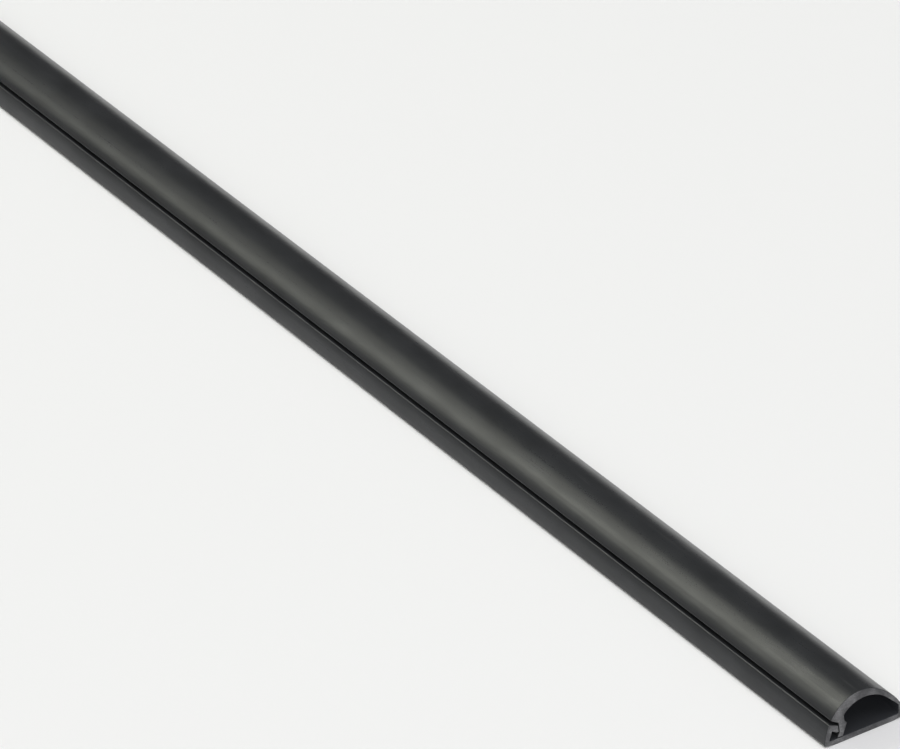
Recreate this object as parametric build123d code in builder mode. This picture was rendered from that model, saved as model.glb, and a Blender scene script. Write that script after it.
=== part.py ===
"""Cord cover raceway: one stock length of black half-round cable raceway.

A single plastic extrusion. A flat base carries an upstand with a lip along its
latch side. A domed lid is joined to the base along the other side by a thin hinge
web, and the leg under its free edge stands snapped in behind the lip.

X runs along the length, Y across with the latch at -Y, and Z up from the underside.
"""

import os
from math import acos, atan2, degrees, radians, sqrt, tan

from build123d import *

# Stock size (mm)
LENGTH = 400.0
WIDTH = 16.0
HEIGHT = 8.5

# Half-round outside: a crown arc with a flank arc tangent to it on each side
CROWN_RADIUS = 6.8
CROWN_HALF_ANGLE = 34.0
SPRING_HEIGHT = 0.8
EDGE_RISE = 0.35
EDGE_BEVEL = 2.0

# Walls: the lid at its crown, and each side of the vault's widest line
BASE_WALL = 1.05
LID_WALL = 1.5
LATCH_SIDE_WALL = 2.55
HINGE_SIDE_WALL = 1.45
UPSTAND_WALL = 1.0
UPSTAND_LEAN = 23.0

# Living hinge: the inside corner where the lid's wall runs out to a thin web
HINGE_WEB = 0.5
HINGE_SHARE_OF_HEIGHT = 0.33
HINGE_WALL_LEAN = 6.0

# Parting slot between the lid's free edge and the top of the upstand
SLOT_SHARE_OF_HEIGHT = 0.4
SLOT_ROOT_GAP = 0.5
SLOT_LOWER_ANGLE = 25.0
SLOT_UPPER_ANGLE = 34.0

# Latch: lip on the upstand, leg under the lid's free edge
LIP_REACH = 3.05
LIP_DEPTH = 1.2
LIP_NOSE = 0.45
LIP_BELLY_ANGLE = 33.0
LEG_WALL = 1.25
KNEE_REACH = 0.4
KNEE_ANGLE = 34.0
HEEL_REACH = 0.5
HEEL_HEIGHT = 0.2
FOOT_WIDTH = 1.15
SNAP_GAP = 0.1

# Corner radii
EDGE_RADIUS = 0.25
ROOT_RADIUS = 0.4
TIP_RADIUS = 0.2
FINE_RADIUS = 0.1

# Places in the section, worked out from the sizes above
half = WIDTH / 2
crown_z = HEIGHT - CROWN_RADIUS
vault_radius = half - (LATCH_SIDE_WALL + HINGE_SIDE_WALL) / 2
vault_y = (LATCH_SIDE_WALL - HINGE_SIDE_WALL) / 2
vault_z = HEIGHT - LID_WALL - vault_radius
hinge_z = HEIGHT * HINGE_SHARE_OF_HEIGHT
slot_root_z = HEIGHT * SLOT_SHARE_OF_HEIGHT
slot_top_z = slot_root_z + SLOT_ROOT_GAP
slot_mid_z = slot_root_z + SLOT_ROOT_GAP / 2
slot_slope = tan(radians(SLOT_LOWER_ANGLE))
upstand_y = -half + UPSTAND_WALL
upstand_slope = tan(radians(UPSTAND_LEAN))
lip_y = -half + LIP_REACH
lip_z = slot_root_z - LIP_DEPTH
lip_top_z = slot_root_z + SNAP_GAP * slot_slope
lip_belly_y = lip_y - LIP_NOSE
belly_slope = tan(radians(LIP_BELLY_ANGLE))
lip_root_fall = lip_z - BASE_WALL + lip_belly_y * belly_slope
lip_root_y = (upstand_y + lip_root_fall * upstand_slope) / (1 + belly_slope * upstand_slope)
lip_root_z = lip_z + (lip_belly_y - lip_root_y) * belly_slope
leg_y = lip_y + SNAP_GAP
leg_mid_y = leg_y + LEG_WALL / 2
leg_back_y = leg_y + LEG_WALL
leg_root_z = vault_z + sqrt(vault_radius**2 - (leg_back_y - vault_y) ** 2)
knee_y = leg_back_y + KNEE_REACH
knee_top_z = slot_root_z + KNEE_REACH / tan(radians(KNEE_ANGLE))
heel_y = leg_y - HEEL_REACH
toe_y = heel_y + FOOT_WIDTH
foot_z = BASE_WALL + SNAP_GAP

with BuildPart() as raceway:
    with BuildSketch(Plane.YZ) as section:
        # Outside of the stock: half-round over a flat underside with bevelled long edges
        with BuildLine():
            crown = CenterArc((0, crown_z), CROWN_RADIUS, 90 - CROWN_HALF_ANGLE, 2 * CROWN_HALF_ANGLE)
            hinge_flank = TangentArc(crown @ 0, (half, SPRING_HEIGHT), tangent=(crown % 0) * -1)
            latch_flank = TangentArc(crown @ 1, (-half, SPRING_HEIGHT), tangent=crown % 1)
            Polyline(
                latch_flank @ 1,
                (-half, EDGE_RISE),
                (-half + EDGE_BEVEL, 0),
                (half - EDGE_BEVEL, 0),
                (half, EDGE_RISE),
                hinge_flank @ 1,
            )
        make_face()

        # Hinge corner, one web's thickness in from the outside
        flank_centre = hinge_flank.arc_center
        web_radius = hinge_flank.radius - HINGE_WEB
        hinge_y = flank_centre.X + sqrt(web_radius**2 - (hinge_z - flank_centre.Y) ** 2)
        hinge_foot_y = hinge_y - (hinge_z - BASE_WALL) * tan(radians(HINGE_WALL_LEAN))

        # Cable channel: floor, hinge side, and the lid's inside vaulted from the hinge to the leg
        reach = Vector(hinge_y - vault_y, hinge_z - vault_z)
        touch_angle = degrees(atan2(reach.Y, reach.X) + acos(vault_radius / reach.length))
        leg_angle = degrees(acos((leg_mid_y - vault_y) / vault_radius))
        with BuildLine():
            vault = CenterArc((vault_y, vault_z), vault_radius, touch_angle, leg_angle - touch_angle)
            Polyline(
                vault @ 1,
                (leg_mid_y, BASE_WALL),
                (hinge_foot_y, BASE_WALL),
                (hinge_y, hinge_z),
                vault @ 0,
            )
        make_face(mode=Mode.SUBTRACT)

        # Latch chamber: the room between upstand and leg, round the lip with its nose turned down
        with BuildLine():
            Polyline(
                (upstand_y, BASE_WALL),
                (leg_mid_y, BASE_WALL),
                (leg_mid_y, slot_mid_z),
                (lip_y, slot_mid_z),
                (lip_y, lip_z),
                (lip_belly_y, lip_z),
                (lip_root_y, lip_root_z),
                close=True,
            )
        make_face(mode=Mode.SUBTRACT)

        # Leg: hangs from the lid, knees out at the back, and heels in under the lip
        with BuildLine():
            Polyline(
                (leg_y, leg_root_z + LID_WALL / 4),
                (leg_back_y, leg_root_z + LID_WALL / 4),
                (leg_back_y, knee_top_z),
                (knee_y, slot_root_z),
                (toe_y, foot_z),
                (heel_y, foot_z),
                (heel_y, foot_z + HEEL_HEIGHT),
                (leg_y, lip_z - SNAP_GAP),
                close=True,
            )
        make_face()

        # Parting slot, open to the outside along the latch side
        with BuildLine():
            slot_lower = PolarLine((leg_y, slot_root_z), half, 180 - SLOT_LOWER_ANGLE)
            slot_upper = PolarLine((leg_y, slot_top_z), half, 180 - SLOT_UPPER_ANGLE)
            Line(slot_lower @ 0, slot_upper @ 0)
            Line(slot_lower @ 1, slot_upper @ 1)
            upstand_tip = IntersectingLine(slot_lower @ 0, slot_lower % 0, latch_flank, mode=Mode.PRIVATE) @ 1
            lid_tip = IntersectingLine(slot_upper @ 0, slot_upper % 0, latch_flank, mode=Mode.PRIVATE) @ 1
        make_face(mode=Mode.SUBTRACT)

        # Radii of the die, each on the corner nearest to the place named
        rounded_corners = [
            ((-half, EDGE_RISE), EDGE_RADIUS),
            ((half, EDGE_RISE), EDGE_RADIUS),
            (lid_tip, TIP_RADIUS),
            (upstand_tip, TIP_RADIUS),
            ((leg_y, slot_top_z), TIP_RADIUS),
            ((hinge_y, hinge_z), TIP_RADIUS),
            ((knee_y, slot_root_z), TIP_RADIUS),
            ((leg_back_y, knee_top_z), TIP_RADIUS),
            ((leg_back_y, leg_root_z), ROOT_RADIUS),
            ((hinge_foot_y, BASE_WALL), ROOT_RADIUS),
            ((upstand_y, BASE_WALL), FINE_RADIUS),
            ((toe_y, foot_z), FINE_RADIUS),
            ((heel_y, foot_z), FINE_RADIUS),
            ((lip_belly_y, lip_z), FINE_RADIUS),
            ((lip_y, lip_z), FINE_RADIUS),
            ((lip_y, lip_top_z), FINE_RADIUS),
        ]
        for place, radius in rounded_corners:
            fillet(section.vertices().sort_by_distance(place)[0], radius)

    extrude(amount=LENGTH / 2, both=True)

raceway.part.label = "raceway"

os.makedirs("parts", exist_ok=True)
export_step(raceway.part, "parts/raceway.step")
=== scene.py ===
from math import acos, atan2, cos, radians, sin, sqrt, tan
from typing import NamedTuple

import bmesh
import bpy
from mathutils import Matrix, Vector
from mathutils.geometry import intersect_line_line_2d, intersect_line_sphere_2d


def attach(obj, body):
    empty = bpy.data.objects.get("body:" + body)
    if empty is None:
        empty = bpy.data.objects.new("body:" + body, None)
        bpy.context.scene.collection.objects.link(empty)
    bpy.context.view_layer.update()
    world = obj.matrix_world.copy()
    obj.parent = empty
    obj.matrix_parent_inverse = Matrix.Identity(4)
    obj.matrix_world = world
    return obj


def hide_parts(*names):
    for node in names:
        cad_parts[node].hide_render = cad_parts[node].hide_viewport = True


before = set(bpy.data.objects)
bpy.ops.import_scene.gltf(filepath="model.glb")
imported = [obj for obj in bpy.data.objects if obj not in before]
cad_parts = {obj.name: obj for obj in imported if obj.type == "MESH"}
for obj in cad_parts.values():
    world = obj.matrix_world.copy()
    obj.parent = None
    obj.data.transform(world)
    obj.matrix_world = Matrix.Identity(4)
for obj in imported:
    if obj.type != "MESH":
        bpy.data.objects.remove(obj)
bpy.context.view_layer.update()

bl_info = {
    "name": "Cord Cover Raceway",
    "version": (1, 0, 0),
    "blender": (4, 5, 0),
    "location": "3D View > Sidebar > Raceway",
    "description": "One stock length of half-round cord cover raceway on a plain studio stage",
    "category": "Add Mesh",
}

MM = 0.001

# How finely the shape is drawn
ARC_STEP = 0.30 * MM
CORNER_SEGMENTS = 6
CUTS_ALONG_LENGTH = 15

# How rubbed an edge is, where 1 is fully
LONG_EDGE_RUB = 1.0
LID_EDGE_RUB = 0.25
SAWN_EDGE_RUB = 0.6

# The sawn ends: the least share of X in their normals, and their material after the skin's
END_FACING = 0.9
SAWN_SLOT = 1

# Colour sockets of a Mix node
MIX_FIRST, MIX_SECOND, MIX_RESULT = 6, 7, 2

# Shares of the plain reflection, and the floor's dullness
SKIN_SPECULAR = 0.27
SAWN_SPECULAR = 0.35
FLOOR_SPECULAR = 0.0
FLOOR_ROUGHNESS = 0.9

# Spans of grey values: all of them, and those that most of a noise keeps to
WHOLE_SPAN = (0.0, 1.0)
NOISE_SPAN = (0.30, 0.70)

# Camera
SENSOR_WIDTH = 36.0
NEAREST_SEEN = 0.05
FURTHEST_SEEN = 100.0


class Pattern(NamedTuple):
    """A noise: its counts per metre along X, Y and Z, its detail and roughness, and its shift."""

    label: str
    counts: tuple
    detail: float
    roughness: float
    shift: tuple = (0.0, 0.0, 0.0)


FINE_LINES = Pattern("fine die lines", (4.0, 3000.0, 3000.0), 2.0, 0.6)
BROAD_LINES = Pattern("broad die lines", (2.0, 480.0, 480.0), 2.0, 0.5)
GRAIN = Pattern("grain", (4200.0, 5600.0, 5600.0), 3.0, 0.6)
DRIFTS = Pattern("drifts", (16.0, 90.0, 90.0), 3.0, 0.55)
MOTTLING = Pattern("mottling", (90.0, 220.0, 220.0), 2.0, 0.5)
SCRATCHES = Pattern("scuffs", (70.0, 2400.0, 2400.0), 2.0, 0.5)
RUBBING = Pattern("rub", (150.0, 700.0, 700.0), 3.0, 0.6)
CHIPS = Pattern("chips", (4600.0, 4600.0, 4600.0), 4.0, 0.7)
# Mottled tone of the sawn ends, partly random and partly painted light: its shift places paler
# patches where the end is meant to look lit
CLOUD_AND_PAINTED_LIGHT = Pattern("cloud_and_painted_light", (320.0, 320.0, 320.0), 4.0, 0.72, (8.3, 11.0, 43.3))

# Furrows of the round saw: from its hub to the section, and the rings round the hub
SAW_HUB_SHIFT = (0.0, 0.055, 0.085)
SAW_RINGS = {"Scale": 1150.0, "Distortion": 3.5, "Detail": 3.0, "Detail Scale": 0.6}


class Softbox(NamedTuple):
    """A soft rectangular lamp that faces the raceway, its width along a given direction."""

    name: str
    place: tuple
    across: tuple
    size: tuple
    colour: tuple
    energy: float


WARM = (0.985, 1.0, 0.88)
PLAIN = (1.0, 1.0, 1.0)

# The key and its feather make the band of light along the lid
SOFTBOXES = (
    Softbox(
        name="key_softbox",
        place=(-1.70, -0.932, 1.447),
        across=(0.417, 0.458, 0.785),
        size=(1.136, 0.414),
        colour=WARM,
        energy=13.2,
    ),
    Softbox(
        name="feather_softbox",
        place=(-1.66, -0.299, 1.967),
        across=(-0.661, 0.587, -0.468),
        size=(0.438, 0.872),
        colour=WARM,
        energy=7.6,
    ),
    Softbox(
        name="overhead_softbox",
        place=(1.68, 0.0, 4.24),
        across=(0.0, 1.0, 0.0),
        size=(4.2, 4.5),
        colour=PLAIN,
        energy=125.0,
    ),
    Softbox(
        name="front_fill",
        place=(3.80, -0.95, 1.42),
        across=(0.0, 1.0, 0.0),
        size=(1.9, 1.9),
        colour=PLAIN,
        energy=98.0,
    ),
)


# Sizes and colours a user would change

def length_property(label, note, default_mm):
    """A size in metres, from its value in millimetres."""
    return bpy.props.FloatProperty(
        name=label,
        description=note,
        default=default_mm * MM,
        min=0.0,
        precision=5,
        unit="LENGTH",
        subtype="DISTANCE",
    )


def angle_property(label, note, default_degrees):
    """An angle, from its value in degrees."""
    return bpy.props.FloatProperty(
        name=label,
        description=note,
        default=radians(default_degrees),
        unit="ROTATION",
        subtype="ANGLE",
    )


def colour_property(label, note, default):
    """A linear colour with no alpha."""
    return bpy.props.FloatVectorProperty(
        name=label, description=note, default=default, min=0.0, max=1.0, size=3, subtype="COLOR"
    )


def share_property(label, note, default):
    """A share between none and all."""
    return bpy.props.FloatProperty(
        name=label, description=note, default=default, min=0.0, max=1.0, subtype="FACTOR"
    )


class RacewaySection(bpy.types.PropertyGroup):
    """Sizes of the extruded section and of the stock length."""

    length: length_property("Length", "Stock length from saw cut to saw cut", 400.0)
    width: length_property("Width", "Outside width at the base", 16.0)
    height: length_property("Height", "Outside height at the crown", 8.5)
    crown_radius: length_property("Crown radius", "Radius over the middle of the lid", 6.8)
    crown_half_angle: angle_property(
        "Crown half angle", "Reach of the crown's arc to each side", 34.0
    )
    spring_height: length_property(
        "Spring height", "Height at which the flank on the latch side starts", 0.8
    )
    hinge_spring_height: length_property(
        "Hinge spring height", "Height at which the flank on the hinge side starts", 2.2
    )
    hinge_spring_radius: length_property(
        "Hinge spring radius", "Rounding where the hinge side turns into its flank", 1.2
    )
    edge_rise: length_property("Edge rise", "Height of the bevel along the long lower edges", 0.35)
    edge_bevel: length_property("Edge bevel", "Width of the bevel along the long lower edges", 2.0)
    base_wall: length_property("Base wall", "Thickness of the flat base", 1.05)
    lid_wall: length_property("Lid wall", "Thickness of the lid at its crown", 1.6)
    latch_side_wall: length_property(
        "Latch side wall", "Wall left beside the vault on the latch side", 2.75
    )
    hinge_side_wall: length_property(
        "Hinge side wall", "Wall left beside the vault on the hinge side", 1.25
    )
    upstand_wall: length_property("Upstand wall", "Thickness of the upstand at its foot", 1.0)
    upstand_lean: angle_property("Upstand lean", "Lean of the upstand's inner face", 23.0)
    hinge_web: length_property("Hinge web", "Thickness of the living hinge", 0.5)
    hinge_height: length_property(
        "Hinge height", "Height of the corner inside the living hinge", 2.805
    )
    hinge_lean: angle_property("Hinge wall lean", "Lean of the wall below the hinge", 6.0)
    slot_height: length_property("Slot height", "Height of the parting slot's root", 3.4)
    slot_gap: length_property("Slot gap", "Width of the parting slot at its root", 0.5)
    slot_lower_angle: angle_property("Slot lower angle", "Slope of the upstand's top", 25.0)
    slot_upper_angle: angle_property("Slot upper angle", "Slope under the lid's free edge", 34.0)
    lip_reach: length_property("Lip reach", "Reach of the lip from the outside", 3.05)
    lip_depth: length_property("Lip depth", "Depth of the lip's nose", 1.2)
    lip_nose: length_property("Lip nose", "Width of the lip's nose", 0.45)
    lip_belly_angle: angle_property("Lip belly angle", "Slope under the lip", 33.0)
    leg_wall: length_property("Leg wall", "Thickness of the leg under the lid's free edge", 1.25)
    knee_reach: length_property("Knee reach", "Reach of the knee behind the leg", 0.4)
    knee_angle: angle_property("Knee angle", "Slope over the knee", 34.0)
    heel_reach: length_property("Heel reach", "Reach of the heel under the lip", 0.5)
    heel_height: length_property("Heel height", "Height of the heel's upright side", 0.2)
    foot_width: length_property("Foot width", "Width of the leg's foot", 1.15)
    snap_gap: length_property("Snap gap", "Play in the closed latch", 0.1)
    edge_radius: length_property("Edge radius", "Rounding of the long lower edges", 0.25)
    root_radius: length_property(
        "Root radius", "Rounding at the leg's root and the hinge wall's foot", 0.4
    )
    tip_radius: length_property(
        "Tip radius", "Rounding of the edges along the slot and of the knee", 0.2
    )
    fine_radius: length_property("Fine radius", "Rounding of the small latch edges", 0.1)
    cut_break: length_property("Cut break", "Edge broken round the saw cut", 0.06)


class PlasticFinish(bpy.types.PropertyGroup):
    """Colours and gloss of the black plastic."""

    skin: colour_property("Skin", "Colour of the extruded surface", (0.0150, 0.0160, 0.0178))
    skin_pale: colour_property(
        "Pale skin", "Colour of its slightly paler drifts", (0.0277, 0.0292, 0.0319)
    )
    # Painted light: a paler colour laid inside the channel, where the channel lies in shade; the
    # channel is also left rougher
    channel: colour_property(
        "Channel", "Colour inside the channel, which the die leaves duller", (0.033, 0.035, 0.040)
    )
    scuff: colour_property(
        "Scuff", "Colour of the fine scuffs along the length", (0.052, 0.053, 0.055)
    )
    worn_edge: colour_property("Worn edge", "Colour of the rubbed edges", (0.060, 0.061, 0.061))
    cut: colour_property("Saw cut", "Colour of the sawn ends", (0.170, 0.170, 0.176))
    cut_dark: colour_property(
        "Dark saw cut", "Colour of the furrows in the sawn ends", (0.043, 0.043, 0.046)
    )
    gloss_low: share_property("Satin", "Roughness of the glossier die lines", 0.29)
    gloss_high: share_property("Dull", "Roughness of the duller die lines", 0.36)


class StudioStage(bpy.types.PropertyGroup):
    """Camera, floor and the light of the room."""

    camera_place: bpy.props.FloatVectorProperty(
        name="Camera place",
        description="Where the camera stands",
        default=(1.17579, -0.52672, 0.68056),
        size=3,
        unit="LENGTH",
        subtype="TRANSLATION",
    )
    camera_turn: bpy.props.FloatVectorProperty(
        name="Camera turn",
        description="How the camera is turned",
        default=(radians(61.30523), radians(7.20877), radians(60.89941)),
        size=3,
        unit="ROTATION",
        subtype="EULER",
    )
    lens: bpy.props.FloatProperty(
        name="Lens",
        description="Focal length in millimetres",
        default=302.467,
        min=1.0,
        unit="CAMERA",
    )
    floor_colour: colour_property("Floor", "Colour of the floor", (0.87, 0.87, 0.88))
    floor_reach: bpy.props.FloatProperty(
        name="Floor reach",
        description="Half the floor's side",
        default=30.0,
        min=1.0,
        unit="LENGTH",
        subtype="DISTANCE",
    )
    horizon_glow: bpy.props.FloatProperty(
        name="Horizon glow", description="Light of the room at the horizon", default=0.02, min=0.0
    )
    ceiling_glow: bpy.props.FloatProperty(
        name="Ceiling glow", description="Light of the room overhead", default=0.27, min=0.0
    )


# Drawing the section

def at(size, y, z):
    """A place in the plane of the section's back end."""
    return Vector((size.length / -2 + size.cut_break, y, z))


def draw_line(mesh, tip, place):
    """Draws a straight run from the tip to a place."""
    corner = bmesh.ops.extrude_vert_indiv(mesh, verts=[tip])["verts"][0]
    bmesh.ops.translate(mesh, verts=[corner], vec=place - corner.co)
    return corner


def draw_arc(mesh, tip, centre, place):
    """Sweeps the tip round a centre on the X axis until it faces a place."""
    start = tip.co - centre
    end = place - centre
    angle = atan2(start.y * end.z - start.z * end.y, start.y * end.y + start.z * end.z)
    swept = bmesh.ops.spin(
        mesh,
        geom=[tip],
        cent=centre,
        axis=(1.0, 0.0, 0.0),
        angle=angle,
        steps=2 * max(1, round(abs(angle) * start.length / ARC_STEP / 2)),
    )
    return next(part for part in swept["geom_last"] if isinstance(part, bmesh.types.BMVert))


def draw_section(mesh, size):
    """Draws the closed outline and returns the corners to round, with their radius and rub."""
    half = size.width / 2
    crown = at(size, 0.0, size.height - size.crown_radius)
    hinge_spring = at(size, half, size.hinge_spring_height)
    latch_spring = at(size, -half, size.spring_height)

    def flank_from_crown(side, spring):
        """Joint, centre and radius of the flank's arc, which leaves the crown on its tangent."""
        across = Vector((0.0, side * sin(size.crown_half_angle), cos(size.crown_half_angle)))
        joint = crown + across * size.crown_radius
        run = spring - joint
        radius = run.length_squared / (-2.0 * run.dot(across))
        return joint, joint - across * radius, radius

    hinge_joint, hinge_flank, hinge_flank_radius = flank_from_crown(1.0, hinge_spring)
    latch_joint, latch_flank, latch_flank_radius = flank_from_crown(-1.0, latch_spring)

    # Parting slot, from its root out to the latch flank
    leg_y = -half + size.lip_reach + size.snap_gap
    lip_y = -half + size.lip_reach
    slot_foot = at(size, leg_y, size.slot_height)
    slot_head = at(size, leg_y, size.slot_height + size.slot_gap)

    def out_to_flank(root, slope):
        """The place where a line up and out from the slot's root meets the latch flank."""
        reach = Vector((root.y - cos(slope) * half, root.z + sin(slope) * half))
        hit = intersect_line_sphere_2d(root.yz, reach, latch_flank.yz, latch_flank_radius)
        return at(size, *next(place for place in hit if place is not None))

    lid_tip = out_to_flank(slot_head, size.slot_upper_angle)
    upstand_tip = out_to_flank(slot_foot, size.slot_lower_angle)
    lip_top = at(size, lip_y, size.slot_height + size.snap_gap * tan(size.slot_lower_angle))

    # Latch: lip on the upstand, leg under the lid
    lip_z = size.slot_height - size.lip_depth
    belly = at(size, lip_y - size.lip_nose, lip_z)
    upstand_foot = at(size, -half + size.upstand_wall, size.base_wall)
    up_the_upstand = Vector((sin(size.upstand_lean), cos(size.upstand_lean))) * size.height
    back_from_belly = Vector((-cos(size.lip_belly_angle), sin(size.lip_belly_angle))) * half
    lip_root = at(
        size,
        *intersect_line_line_2d(
            upstand_foot.yz,
            upstand_foot.yz + up_the_upstand,
            belly.yz,
            belly.yz + back_from_belly,
        ),
    )
    foot_z = size.base_wall + size.snap_gap
    heel_y = leg_y - size.heel_reach
    back_y = leg_y + size.leg_wall
    knee = at(size, back_y + size.knee_reach, size.slot_height)
    knee_top = at(size, back_y, size.slot_height + size.knee_reach / tan(size.knee_angle))

    # Vault under the lid, from the leg to the living hinge
    vault_radius = half - (size.latch_side_wall + size.hinge_side_wall) / 2
    vault_y = (size.latch_side_wall - size.hinge_side_wall) / 2
    vault = at(size, vault_y, size.height - size.lid_wall - vault_radius)
    leg_root = at(size, back_y, vault.z + sqrt(vault_radius**2 - (back_y - vault.y) ** 2))
    web_radius = hinge_flank_radius - size.hinge_web
    hinge_y = hinge_flank.y + sqrt(web_radius**2 - (size.hinge_height - hinge_flank.z) ** 2)
    hinge = at(size, hinge_y, size.hinge_height)
    hinge_foot_y = hinge_y - (size.hinge_height - size.base_wall) * tan(size.hinge_lean)
    hinge_foot = at(size, hinge_foot_y, size.base_wall)
    to_hinge = hinge - vault
    touch = atan2(to_hinge.z, to_hinge.y) + acos(vault_radius / to_hinge.length)
    vault_end = vault + Vector((0.0, cos(touch), sin(touch))) * vault_radius

    rounded = []

    def corner(tip, place, radius, rub=0.0):
        """Draws a straight run to a corner that will be rounded."""
        vert = draw_line(mesh, tip, place)
        rounded.append((vert, radius, rub))
        return vert

    # Underside, hinge side and over the lid to its free edge
    start = mesh.verts.new(at(size, -half + size.edge_bevel, 0.0))
    tip = draw_line(mesh, start, at(size, half - size.edge_bevel, 0.0))
    tip = corner(tip, at(size, half, size.edge_rise), size.edge_radius, LONG_EDGE_RUB)
    tip = corner(tip, hinge_spring, size.hinge_spring_radius)
    tip = draw_arc(mesh, tip, hinge_flank, hinge_joint)
    tip = draw_arc(mesh, tip, crown, latch_joint)
    tip = draw_arc(mesh, tip, latch_flank, lid_tip)
    rounded.append((tip, size.tip_radius, LID_EDGE_RUB))

    # Down the leg, round its foot and up behind it to the vault
    tip = corner(tip, slot_head, size.tip_radius)
    tip = draw_line(mesh, tip, at(size, leg_y, lip_z - size.snap_gap))
    tip = draw_line(mesh, tip, at(size, heel_y, foot_z + size.heel_height))
    tip = corner(tip, at(size, heel_y, foot_z), size.fine_radius)
    tip = corner(tip, at(size, heel_y + size.foot_width, foot_z), size.fine_radius)
    tip = corner(tip, knee, size.tip_radius)
    tip = corner(tip, knee_top, size.tip_radius)
    tip = corner(tip, leg_root, size.root_radius)
    tip = draw_arc(mesh, tip, vault, vault_end)

    # Living hinge, floor of the channel, and the upstand with its lip
    tip = corner(tip, hinge, size.tip_radius)
    tip = corner(tip, hinge_foot, size.root_radius)
    tip = corner(tip, upstand_foot, size.fine_radius)
    tip = draw_line(mesh, tip, lip_root)
    tip = corner(tip, belly, size.fine_radius)
    tip = corner(tip, at(size, lip_y, lip_z), size.fine_radius)
    tip = corner(tip, lip_top, size.fine_radius)
    tip = corner(tip, upstand_tip, size.tip_radius, LONG_EDGE_RUB)
    tip = draw_arc(mesh, tip, latch_flank, latch_spring)
    tip = corner(tip, at(size, -half, size.edge_rise), size.edge_radius, LONG_EDGE_RUB)
    bmesh.ops.contextual_create(mesh, geom=[tip, start])
    bmesh.ops.contextual_create(mesh, geom=mesh.edges[:])
    return rounded


def round_corner(mesh, vert, radius):
    """Rounds one corner of the section and returns the vertices between its rounding's ends."""
    place = vert.co.copy()
    made = bmesh.ops.bevel(
        mesh,
        geom=[vert],
        offset=radius * tan(vert.calc_edge_angle() / 2),
        offset_type="OFFSET",
        segments=CORNER_SEGMENTS,
        profile=0.5,
        affect="VERTICES",
        clamp_overlap=True,
        material=-1,
    )["verts"]
    return sorted(made, key=lambda made_vert: (made_vert.co - place).length)[:-2]


def build_raceway(size):
    """Extrudes the section to its length and returns the finished mesh."""
    mesh = bmesh.new()
    worn = mesh.verts.layers.float.new("worn")
    # Marks the faces that get the channel's painted light
    inside = mesh.faces.layers.float.new("inside")
    for vert, radius, rub in draw_section(mesh, size):
        for made in round_corner(mesh, vert, radius):
            made[worn] = rub

    # Stock length, in even lengths so that long faces stay well shaped
    run = size.length - 2 * size.cut_break
    grown = bmesh.ops.extrude_face_region(mesh, geom=mesh.faces[:], use_keep_orig=True)
    front = [part for part in grown["geom"] if isinstance(part, bmesh.types.BMVert)]
    bmesh.ops.translate(mesh, verts=front, vec=(run, 0.0, 0.0))
    long_edges = [
        edge
        for edge in mesh.edges
        if abs(edge.verts[0].co.x - edge.verts[1].co.x) > run / 2
    ]
    bmesh.ops.subdivide_edges(
        mesh, edges=long_edges, cuts=CUTS_ALONG_LENGTH, use_grid_fill=True
    )
    bmesh.ops.recalc_face_normals(mesh, faces=mesh.faces[:])

    # Sawn ends with their edges just broken
    mesh.normal_update()
    ends = [face for face in mesh.faces if abs(face.normal.x) > END_FACING]
    for end in ends:
        bmesh.ops.inset_region(
            mesh,
            faces=[end],
            thickness=size.cut_break,
            depth=0.0,
            use_boundary=True,
            use_even_offset=True,
        )
        end.material_index = SAWN_SLOT
        side = 1.0 if end.normal.x > 0 else -1.0
        bmesh.ops.translate(mesh, verts=end.verts[:], vec=(side * size.cut_break, 0.0, 0.0))
        for vert in end.verts:
            vert[worn] = SAWN_EDGE_RUB

    # Faces past the lip that look to the middle of the channel, which get the channel's paler
    # colour as painted light
    lip_y = size.lip_reach - size.width / 2
    middle = Vector((0.0, 0.0, size.hinge_height))
    for face in mesh.faces:
        place = face.calc_center_median()
        place.x = 0.0
        face[inside] = float(place.y > lip_y and face.normal.dot(place - middle) < 0.0)

    # Smooth along the extrusion, sharp round the cuts
    for face in mesh.faces:
        face.smooth = face not in ends
    for end in ends:
        for edge in end.edges:
            edge.smooth = False
    return mesh


# Materials

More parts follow.
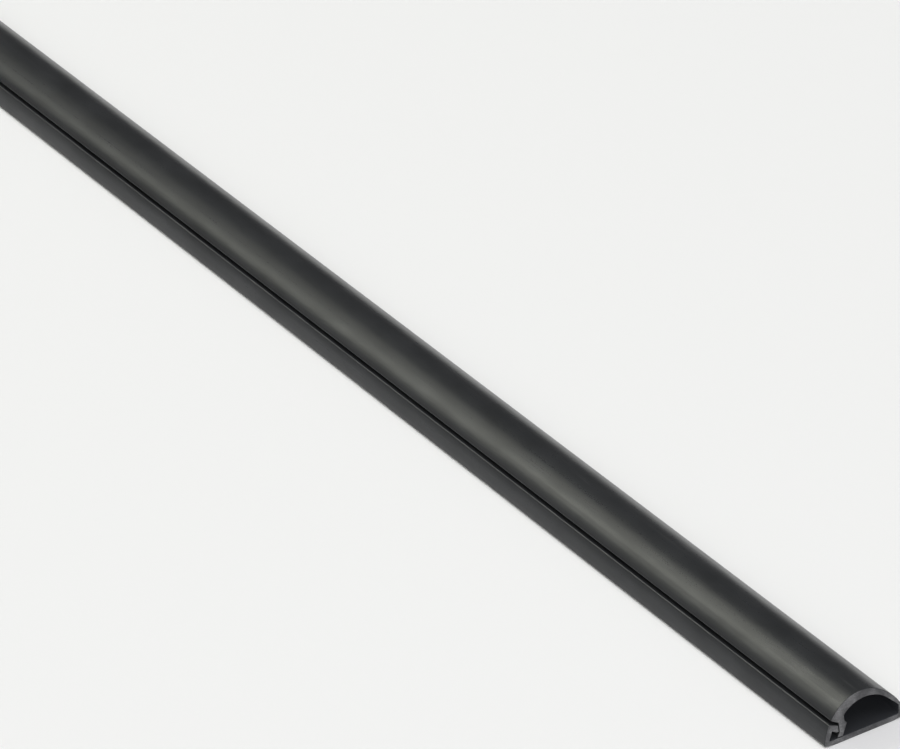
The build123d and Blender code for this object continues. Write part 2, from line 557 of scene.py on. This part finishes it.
class NodeBoard:
    """Adds nodes to one material or world and joins them."""

    def __init__(self, tree):
        self.nodes = tree.nodes
        self.links = tree.links

    def pattern(self, pattern):
        """A noise on Object coordinates."""
        place = self.nodes.new("ShaderNodeTexCoord")
        mapping = self.nodes.new("ShaderNodeMapping")
        mapping.inputs["Scale"].default_value = pattern.counts
        mapping.inputs["Location"].default_value = pattern.shift
        noise = self.nodes.new("ShaderNodeTexNoise")
        noise.label = pattern.label
        noise.inputs["Scale"].default_value = 1.0
        noise.inputs["Detail"].default_value = pattern.detail
        noise.inputs["Roughness"].default_value = pattern.roughness
        self.links.new(place.outputs["Object"], mapping.inputs["Vector"])
        self.links.new(mapping.outputs["Vector"], noise.inputs["Vector"])
        return noise.outputs["Fac"]

    def attribute(self, name):
        """A grey value that the mesh carries."""
        node = self.nodes.new("ShaderNodeAttribute")
        node.attribute_name = name
        return node.outputs["Fac"]

    def spread(self, source, span, out):
        """Maps a grey value from one span to another, clamped."""
        node = self.nodes.new("ShaderNodeMapRange")
        node.inputs["From Min"].default_value, node.inputs["From Max"].default_value = span
        node.inputs["To Min"].default_value, node.inputs["To Max"].default_value = out
        self.links.new(source, node.inputs["Value"])
        return node.outputs["Result"]

    def combine(self, operation, first, second):
        """Joins two grey values by one sum."""
        node = self.nodes.new("ShaderNodeMath")
        node.operation = operation
        self.links.new(first, node.inputs[0])
        self.links.new(second, node.inputs[1])
        return node.outputs["Value"]

    def blend(self, factor, first, second):
        """Mixes two colours, each a colour or a socket, by a grey value."""
        node = self.nodes.new("ShaderNodeMix")
        node.data_type = "RGBA"
        self.links.new(factor, node.inputs["Factor"])
        for socket, colour in ((MIX_FIRST, first), (MIX_SECOND, second)):
            if isinstance(colour, bpy.types.NodeSocket):
                self.links.new(colour, node.inputs[socket])
            else:
                node.inputs[socket].default_value = (*colour, 1.0)
        return node.outputs[MIX_RESULT]

    def relief(self, *layers):
        """Bumps laid over each other, each from a grey value, its real depth and its strength."""
        under = None
        for height, depth, strength in layers:
            node = self.nodes.new("ShaderNodeBump")
            node.inputs["Strength"].default_value = strength
            node.inputs["Distance"].default_value = depth
            self.links.new(height, node.inputs["Height"])
            if under is not None:
                self.links.new(under, node.inputs["Normal"])
            under = node.outputs["Normal"]
        return under


def new_material(name):
    """A node material with its board and its shader."""
    material = bpy.data.materials.new(name)
    material.use_nodes = True
    tree = material.node_tree
    return material, NodeBoard(tree), tree.nodes["Principled BSDF"]


def extruded_skin(finish):
    """Satin black plastic as it leaves the die: lines, a slight grain, scuffs, rubbed edges, and a
    paler colour painted inside the channel as painted light.
    """
    material, board, shader = new_material("black_plastic_skin")
    fine_lines = board.pattern(FINE_LINES)
    broad_lines = board.pattern(BROAD_LINES)
    grain = board.pattern(GRAIN)
    drifts = board.pattern(DRIFTS)
    mottle = board.pattern(MOTTLING)
    inside = board.attribute("inside")

    # Scuffs gather where the drifts run high, and rub marks break up along the rounded edges
    scuffs = board.combine(
        "MULTIPLY",
        board.spread(board.pattern(SCRATCHES), (0.64, 0.74), WHOLE_SPAN),
        board.spread(drifts, (0.48, 0.66), (0.0, 0.7)),
    )
    wear = board.combine(
        "MULTIPLY",
        board.attribute("worn"),
        board.spread(board.pattern(RUBBING), (0.36, 0.66), (0.2, 1.0)),
    )

    # Colour, with painted light inside the channel
    shade = board.combine(
        "ADD",
        board.spread(drifts, (0.35, 0.65), (0.0, 0.4)),
        board.spread(mottle, NOISE_SPAN, (0.0, 0.6)),
    )
    colour = board.blend(shade, finish.skin, finish.skin_pale)
    # Painted light: the channel's faces get a paler colour where they lie in shade
    colour = board.blend(inside, colour, finish.channel)
    colour = board.blend(scuffs, colour, finish.scuff)
    colour = board.blend(wear, colour, finish.worn_edge)
    board.links.new(colour, shader.inputs["Base Color"])

    # Gloss: the roughness of the fine lines, and what each other mark adds to it
    gloss = board.spread(fine_lines, NOISE_SPAN, (finish.gloss_low, finish.gloss_high))
    for source, span, added in (
        (broad_lines, NOISE_SPAN, (-0.03, 0.03)),
        (grain, NOISE_SPAN, (-0.04, 0.04)),
        (mottle, NOISE_SPAN, (0.016, -0.016)),
        (scuffs, WHOLE_SPAN, (0.0, 0.12)),
        (inside, WHOLE_SPAN, (0.0, 0.15)),
    ):
        gloss = board.combine("ADD", gloss, board.spread(source, span, added))
    board.links.new(gloss, shader.inputs["Roughness"])
    shader.inputs["Specular IOR Level"].default_value = SKIN_SPECULAR

    surface = board.relief(
        (mottle, 0.050 * MM, 1.0),
        (broad_lines, 0.020 * MM, 0.30),
        (fine_lines, 0.012 * MM, 0.40),
        (grain, 0.009 * MM, 0.45),
    )
    board.links.new(surface, shader.inputs["Normal"])
    return material


def sawn_end(finish):
    """The same plastic where a round saw went through: paler, dull, with close curved furrows and
    a mottled tone that is partly painted light.
    """
    material, board, shader = new_material("black_plastic_sawn")
    place = board.nodes.new("ShaderNodeTexCoord")
    hub = board.nodes.new("ShaderNodeMapping")
    hub.inputs["Location"].default_value = SAW_HUB_SHIFT
    board.links.new(place.outputs["Object"], hub.inputs["Vector"])
    wave = board.nodes.new("ShaderNodeTexWave")
    wave.label = "saw furrows"
    wave.wave_type = "RINGS"
    wave.rings_direction = "X"
    for name, value in SAW_RINGS.items():
        wave.inputs[name].default_value = value
    board.links.new(hub.outputs["Vector"], wave.inputs["Vector"])
    furrows = wave.outputs["Fac"]
    chips = board.pattern(CHIPS)
    cloud_and_painted_light = board.pattern(CLOUD_AND_PAINTED_LIGHT)

    # Colour: dark in the furrows and between the chips; the cloud gives random tone, and its shift
    # places paler patches as painted light
    tone = board.combine(
        "MULTIPLY",
        board.spread(furrows, WHOLE_SPAN, (0.50, 1.0)),
        board.spread(chips, (0.34, 0.62), (0.30, 1.15)),
    )
    # The cloud: random tone, with paler patches placed as painted light
    tone = board.combine("MULTIPLY", tone, board.spread(cloud_and_painted_light, (0.40, 0.66), (0.0, 1.1)))
    colour = board.blend(tone, finish.cut_dark, finish.cut)
    board.links.new(colour, shader.inputs["Base Color"])

    roughness = board.spread(chips, NOISE_SPAN, (0.50, 0.72))
    board.links.new(roughness, shader.inputs["Roughness"])
    shader.inputs["Specular IOR Level"].default_value = SAWN_SPECULAR

    surface = board.relief((furrows, 0.030 * MM, 0.40), (chips, 0.035 * MM, 0.50))
    board.links.new(surface, shader.inputs["Normal"])
    return material


def studio_floor(stage):
    """Plain pale floor."""
    material, _, shader = new_material("pale_floor")
    shader.inputs["Base Color"].default_value = (*stage.floor_colour, 1.0)
    shader.inputs["Roughness"].default_value = FLOOR_ROUGHNESS
    shader.inputs["Specular IOR Level"].default_value = FLOOR_SPECULAR
    return material


# Operators

def add_object(context, name, data):
    """Links a new object that holds a mesh, lamp or camera."""
    made = bpy.data.objects.new(name, data)
    context.scene.collection.objects.link(made)
    return made


class RACEWAY_OT_make_extrusion(bpy.types.Operator):
    """Extrude one stock length of raceway and give it its plastic finish"""

    bl_idname = "raceway.make_extrusion"
    bl_label = "Make Extrusion"
    bl_options = {"REGISTER", "UNDO"}

    def execute(self, context):
        finish = context.scene.raceway_finish
        shape = build_raceway(context.scene.raceway_section)
        mesh = bpy.data.meshes.new("raceway_extrusion")
        shape.to_mesh(mesh)
        shape.free()
        mesh.materials.append(extruded_skin(finish))
        mesh.materials.append(sawn_end(finish))
        piece = add_object(context, "raceway_extrusion", mesh)
        flats = piece.modifiers.new("true flats", "WEIGHTED_NORMAL")
        flats.mode = "FACE_AREA"
        flats.keep_sharp = True
        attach(piece, "root")
        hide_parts("raceway")
        return {"FINISHED"}


class RACEWAY_OT_set_stage(bpy.types.Operator):
    """Lay the floor, hang the soft lamps and stand the camera"""

    bl_idname = "raceway.set_stage"
    bl_label = "Set Stage"
    bl_options = {"REGISTER", "UNDO"}

    def lay_floor(self, context, stage):
        """Lays the plain floor."""
        shape = bmesh.new()
        bmesh.ops.create_grid(shape, x_segments=1, y_segments=1, size=stage.floor_reach)
        mesh = bpy.data.meshes.new("studio_floor")
        shape.to_mesh(mesh)
        shape.free()
        mesh.materials.append(studio_floor(stage))
        floor = add_object(context, "studio_floor", mesh)

    def light_room(self, context, stage):
        """Makes the room dim at the horizon and brighter overhead."""
        room = bpy.data.worlds.new("dim_room")
        room.use_nodes = True
        board = NodeBoard(room.node_tree)
        toward = board.nodes.new("ShaderNodeTexCoord")
        parts = board.nodes.new("ShaderNodeSeparateXYZ")
        board.links.new(toward.outputs["Generated"], parts.inputs["Vector"])
        glow = board.spread(
            parts.outputs["Z"], WHOLE_SPAN, (stage.horizon_glow, stage.ceiling_glow)
        )
        background = board.nodes["Background"]
        board.links.new(glow, background.inputs["Strength"])
        background.inputs["Color"].default_value = (*PLAIN, 1.0)
        context.scene.world = room

    def hang_lamp(self, context, softbox):
        """Hangs one soft lamp."""
        lamp = bpy.data.lights.new(softbox.name, "AREA")
        lamp.shape = "RECTANGLE"
        lamp.size, lamp.size_y = softbox.size
        lamp.color = softbox.colour
        lamp.energy = softbox.energy
        across = Vector(softbox.across)
        back = Vector(softbox.place).normalized()
        side = (across - across.project(back)).normalized()
        turn = Matrix((side, back.cross(side), back)).transposed().to_4x4()
        holder = add_object(context, softbox.name, lamp)
        holder.matrix_world = Matrix.Translation(softbox.place) @ turn
        holder.visible_camera = False

    def stand_camera(self, context, stage):
        """Stands the camera at the photograph's angle."""
        camera = bpy.data.cameras.new("photo_camera")
        camera.lens = stage.lens
        camera.sensor_width = SENSOR_WIDTH
        camera.clip_start = NEAREST_SEEN
        camera.clip_end = FURTHEST_SEEN
        stand = add_object(context, "photo_camera", camera)
        stand.location = stage.camera_place
        stand.rotation_euler = stage.camera_turn
        context.scene.camera = stand

    def execute(self, context):
        stage = context.scene.raceway_stage
        self.lay_floor(context, stage)
        self.light_room(context, stage)
        for softbox in SOFTBOXES:
            self.hang_lamp(context, softbox)
        self.stand_camera(context, stage)
        context.scene.view_settings.view_transform = "Standard"
        return {"FINISHED"}


class RACEWAY_PT_sidebar(bpy.types.Panel):
    """Lists the raceway's sizes, finish and stage"""

    bl_idname = "RACEWAY_PT_sidebar"
    bl_label = "Cord Cover Raceway"
    bl_space_type = "VIEW_3D"
    bl_region_type = "UI"
    bl_category = "Raceway"

    def draw(self, context):
        layout = self.layout
        layout.use_property_split = True
        for operator, group in (
            (RACEWAY_OT_make_extrusion, context.scene.raceway_section),
            (None, context.scene.raceway_finish),
            (RACEWAY_OT_set_stage, context.scene.raceway_stage),
        ):
            column = layout.column(align=True)
            for name in group.__annotations__:
                column.prop(group, name)
            if operator is not None:
                layout.operator(operator.bl_idname)


CLASSES = (
    RacewaySection,
    PlasticFinish,
    StudioStage,
    RACEWAY_OT_make_extrusion,
    RACEWAY_OT_set_stage,
    RACEWAY_PT_sidebar,
)


def register():
    """Registers the classes and hangs the sizes, finish and stage on the scene."""
    for cls in CLASSES:
        bpy.utils.register_class(cls)
    bpy.types.Scene.raceway_section = bpy.props.PointerProperty(type=RacewaySection)
    bpy.types.Scene.raceway_finish = bpy.props.PointerProperty(type=PlasticFinish)
    bpy.types.Scene.raceway_stage = bpy.props.PointerProperty(type=StudioStage)


def unregister():
    """Takes off what register put on."""
    del bpy.types.Scene.raceway_stage
    del bpy.types.Scene.raceway_finish
    del bpy.types.Scene.raceway_section
    for cls in reversed(CLASSES):
        bpy.utils.unregister_class(cls)


def main():
    register()
    bpy.ops.raceway.make_extrusion()
    bpy.ops.raceway.set_stage()


if __name__ == "__main__":
    main()
